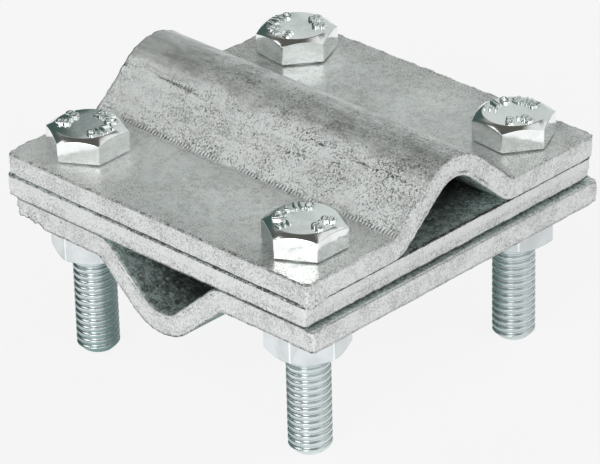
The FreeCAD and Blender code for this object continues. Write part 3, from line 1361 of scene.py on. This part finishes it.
@dataclass
class HexNut:
    """Zinc-plated hexagon nut, chamfered and countersunk on both faces."""

    corner: Corner
    finish: BrightZinc
    across_flats: float = 10.0 * MM
    bore_radius: float = 3.0 * MM
    mouth_radius: float = 3.35 * MM
    face_radius: float = 4.75 * MM
    highlight_reach: float = 0.12 * MM
    highlight_margin: float = 1.4
    chamfer: float = math.radians(30)

    def build(self) -> Object:
        """Build, dress and mount the nut.

        Returns:
            The finished piece.
        """
        node = "nut_" + self.corner.name
        centre, bottom, top = upright(node)
        piece = eased(linked(node + "_zinc", self.mesh(centre, bottom, top)))
        # Mark the corner edges for a painted highlight.
        corner_radius = self.across_flats / 2 / math.cos(HALF_SIDE)
        radii = np.array([(vertex.co.xy - centre.xy).length for vertex in piece.data.vertices])
        store(piece.data, CORNER_HIGHLIGHT, np.clip((radii - corner_radius) / self.highlight_reach + self.highlight_margin, 0, 1))
        piece.data.materials.append(self.finish.build())
        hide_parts(node)
        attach(piece, node)
        return piece

    def mesh(self, centre: Vector, bottom: float, top: float) -> Mesh:
        """Skin of the nut, round its section.

        Args:
            centre: Foot of the axis.
            bottom: Level of the lower face.
            top: Level of the upper face.

        Returns:
            The mesh.
        """
        slope = math.tan(self.chamfer)
        sink = self.mouth_radius - self.bore_radius
        lathe = Lathe(self.corner.nut_turn, self.across_flats)
        reach = lathe.reach
        drop = (reach - self.face_radius) * slope
        rows = ((self.bore_radius, bottom + sink), (self.mouth_radius, bottom), (self.face_radius, bottom),
                (reach, bottom + drop), (reach, top - drop),
                (self.face_radius, top), (self.mouth_radius, top), (self.bore_radius, top - sink))
        return lathe.mesh("nut", centre, rows, ring=True)


@dataclass(frozen=True)
class SoftBox:
    """Soft-edged bright panel of the studio, seen from the object in a direction, in degrees."""

    azimuth: float
    elevation: float
    half_width: float
    half_height: float
    strength: float
    softness: float = 0.15


@dataclass(frozen=True)
class Studio:
    """Plain pale floor, soft panels round the object, and the camera."""

    floor_level: float = 0.99
    painted_light_level: float = 1.22
    floor_side: float = 1.0
    # The floor's glow in reflections: painted light towards one side, painted shadow round the footprint.
    painted_light_side: Triple = (0.26, -0.97, 0.0)
    painted_light_span: tuple[float, float] = (-10 * MM, 45 * MM)
    painted_shadow_level: float = 0.27
    painted_shadow_centre: tuple[float, float] = (-14 * MM, 5 * MM)
    painted_shadow_span: tuple[float, float] = (22 * MM, 38 * MM)
    painted_shadow_tint: Colour = (0.62, 1.0, 0.94, 1.0)
    glow_share: float = 0.87
    floor_albedo: float = 0.80
    floor_reach: float = 6.0
    ambient: float = 0.10
    ambient_low: Colour = (0.55, 1.0, 0.92, 1.0)
    ambient_high: Colour = (1.0, 0.98, 0.88, 1.0)
    ambient_span: tuple[float, float] = (0.3, 0.9)
    azimuth: float = 44.664
    elevation: float = 28.353
    roll: float = -1.509
    distance: float = 542.34 * MM
    aim: Triple = (3.64 * MM, -4.36 * MM, 19.51 * MM)
    lens_mm: float = 244.93
    sensor_mm: float = 36.0
    panels: tuple[SoftBox, ...] = (
        SoftBox(110.0, 20.0, 24.5, 22.0, 0.56, 0.045),
        SoftBox(50.0, 46.0, 26.0, 26.0, 0.75),
        SoftBox(288.0, 28.0, 12.0, 24.0, 2.95, 0.12),
        SoftBox(224.0, 50.0, 13.0, 8.5, 2.45, 0.08),
        SoftBox(155.0, 47.0, 15.0, 7.0, 0.30),
        SoftBox(345.0, 22.0, 34.0, 20.0, 1.05),
    )

    def build(self) -> None:
        """Build the floor, the world's light and the camera."""
        self.build_floor()
        self.build_world()
        self.build_camera()
        bpy.context.scene.view_settings.view_transform = "Standard"

    def build_floor(self) -> None:
        """Lay the pale floor that takes the object's shadow and shows painted shadow and light in reflections."""
        mesh = bpy.data.meshes.new("floor")
        signs = ((-1, -1), (1, -1), (1, 1), (-1, 1))
        mesh.from_pydata([(self.floor_reach * x, self.floor_reach * y, 0) for x, y in signs], [], [(0, 1, 2, 3)])
        floor = linked("floor", mesh)
        material, nodes = new_material("pale floor")
        rays = nodes.add("ShaderNodeLightPath").outputs
        camera, glossy, clear = (Field(nodes, rays["Is %s Ray" % kind])
                                 for kind in ("Camera", "Glossy", "Transmission"))
        place = nodes.field("ShaderNodeTexCoord", "Object")
        x, y, _ = nodes.axes(place)
        # Painted shadow round the footprint and painted light towards one side, only for reflections.
        away = abs(x - self.painted_shadow_centre[0]).at_least(abs(y - self.painted_shadow_centre[1]))
        open_floor = away.ramp(*self.painted_shadow_span)
        bright = nodes.dot(place, self.painted_light_side).ramp(*self.painted_light_span, self.floor_side, self.painted_light_level)
        plain = grey(self.floor_level)
        shadow_colour = tuple(part * shade for part, shade in zip(plain, self.painted_shadow_tint))
        glow = nodes.field("ShaderNodeEmission", Color=nodes.blend(glossy * (1.0 - open_floor), plain, shadow_colour),
                           Strength=glossy.between(1.0, open_floor.between(self.painted_shadow_level, bright)))
        cloth = nodes.field("ShaderNodeBsdfDiffuse", Color=grey(self.floor_albedo))
        seen = camera.at_least(glossy).at_least(clear) * self.glow_share
        nodes.add("ShaderNodeOutputMaterial", Surface=nodes.mixed(seen, cloth, glow))
        mesh.materials.append(material)
        floor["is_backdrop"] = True

    def build_world(self) -> None:
        """Light the object with soft panels and show the camera a plain pale backdrop."""
        world = bpy.data.worlds.new("studio")
        bpy.context.scene.world = world
        world.use_nodes = True
        nodes = Nodes(world.node_tree)
        direction = nodes.field("ShaderNodeTexCoord", "Generated")
        height = nodes.axes(direction)[2]
        room = nodes.blend(height.ramp(*self.ambient_span), self.ambient_low, self.ambient_high)
        first, *others = (self.panel_light(nodes, direction, panel) for panel in self.panels)
        light = nodes.vector_math("ADD", nodes.scaled(room, self.ambient),
                                  nodes.scaled((1.0, 1.0, 1.0), sum(others, first)))
        lit = nodes.field("ShaderNodeBackground", Color=light, Strength=1.0)
        plain = nodes.field("ShaderNodeBackground", Color=grey(self.floor_level), Strength=1.0)
        camera = nodes.field("ShaderNodeLightPath", "Is Camera Ray")
        nodes.add("ShaderNodeOutputWorld", Surface=nodes.mixed(camera, lit, plain))

    def panel_light(self, nodes: Nodes, direction: Field, panel: SoftBox) -> Field:
        """Light of one soft panel in a direction.

        Args:
            nodes: The world's nodes.
            direction: Where a ray goes.
            panel: The panel.

        Returns:
            The light.
        """
        azimuth, elevation = math.radians(panel.azimuth), math.radians(panel.elevation)
        ahead = Vector((math.cos(azimuth) * math.cos(elevation), math.sin(azimuth) * math.cos(elevation),
                        math.sin(elevation)))
        side = Vector((-math.sin(azimuth), math.cos(azimuth), 0))
        depth = nodes.dot(direction, ahead)
        light = nodes.math("GREATER_THAN", depth, 0.02)
        for axis, half in ((side, panel.half_width), (ahead.cross(side), panel.half_height)):
            reach = math.tan(math.radians(half))
            off = abs(nodes.dot(direction, axis) / depth)
            light = light * off.ramp(reach - panel.softness, reach + panel.softness, 1.0, 0.0)
        return light * panel.strength

    def build_camera(self) -> None:
        """Set the camera at the photograph's angle, distance and lens."""
        lens = bpy.data.cameras.new("camera")
        lens.sensor_fit = "HORIZONTAL"
        lens.sensor_width = self.sensor_mm
        lens.lens = self.lens_mm
        lens.clip_start = 0.01
        lens.clip_end = 30.0
        camera = linked("camera", lens)
        azimuth, elevation = math.radians(self.azimuth), math.radians(self.elevation)
        turn = Matrix.Rotation(azimuth, 4, "Z") @ Matrix.Rotation(math.pi / 2 - elevation, 4, "X")
        back = turn.to_3x3() @ Vector((0, 0, 1))
        turn = turn @ Matrix.Rotation(math.radians(self.roll), 4, "Z")
        camera.matrix_world = Matrix.Translation(Vector(self.aim) + back * self.distance) @ turn
        bpy.context.scene.camera = camera


class Connector:
    """The whole connector: three plates, four bolts and four nuts."""

    def nut_finish(self, corner: Corner) -> BrightZinc:
        """Finish of a nut, a little duller than the bolt's."""
        return BrightZinc(dark=0.64, light=0.73, gloss=0.14, dull=0.24, tint=(0.95, 1.0, 1.02),
                          seed=corner.seed + 10)

    def build(self) -> list[Object]:
        """Build every piece in order and report each one.

        Returns:
            The finished pieces.
        """
        relief = zinc_relief()
        plates = (
            Plate("top_plate", Groove.ALONG_X_UP, HotDipZinc(seed=1.0, press_run=(0.2, 1.0, 1.0)),
                  (Lump((28.0, -26.3, 27.0), 2.3, (0.30, -0.05, -0.85)),)),
            # The middle plate takes painted shade along its seams.
            Plate("middle_plate", Groove.NONE, HotDipZinc(seed=2.0, band_level=0.13, both_hidden=True,
                                                      seam_shade=-0.85), crease=0.13 * MM),
            Plate("bottom_plate", Groove.ALONG_Y_DOWN, HotDipZinc(seed=3.0, press_run=(1.0, 0.2, 1.0)),
                  (Lump((28.1, -27.2, 22.4), 1.8, (0.25, -0.20, 0.0)),
                   Lump((-27.4, -27.7, 20.0), 3.4, (0.15, 0.20, 1.25)),
                   Lump((-23.5, -27.7, 20.0), 2.4, (0.0, 0.25, 0.55)))),
        )
        pieces = [plate.build(relief) for plate in plates]
        thread_recipe = Thread().recipe()
        for entry in Corners:
            corner = entry.value
            pieces.append(HexBolt(corner, BrightZinc(seed=corner.seed)).build(thread_recipe))
            pieces.append(HexNut(corner, self.nut_finish(corner)).build())
        for piece in pieces:
            piece.data.calc_loop_triangles()
            log.info("%s: %d triangles", piece.name, len(piece.data.loop_triangles))
        return pieces


def write_sizes() -> None:
    """Gather the frame's box and the visual model's box as plain lists."""
    boxes = {"cad": cad_box, "visual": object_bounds()}
    plain = {name: [list(corner) for corner in box] for name, box in boxes.items()}


def main() -> None:
    """Build the connector and its studio."""
    logging.basicConfig(level=logging.INFO, format="%(name)s: %(message)s")
    Connector().build()
    Studio().build()
    write_sizes()


if __name__ == "__main__":
    main()
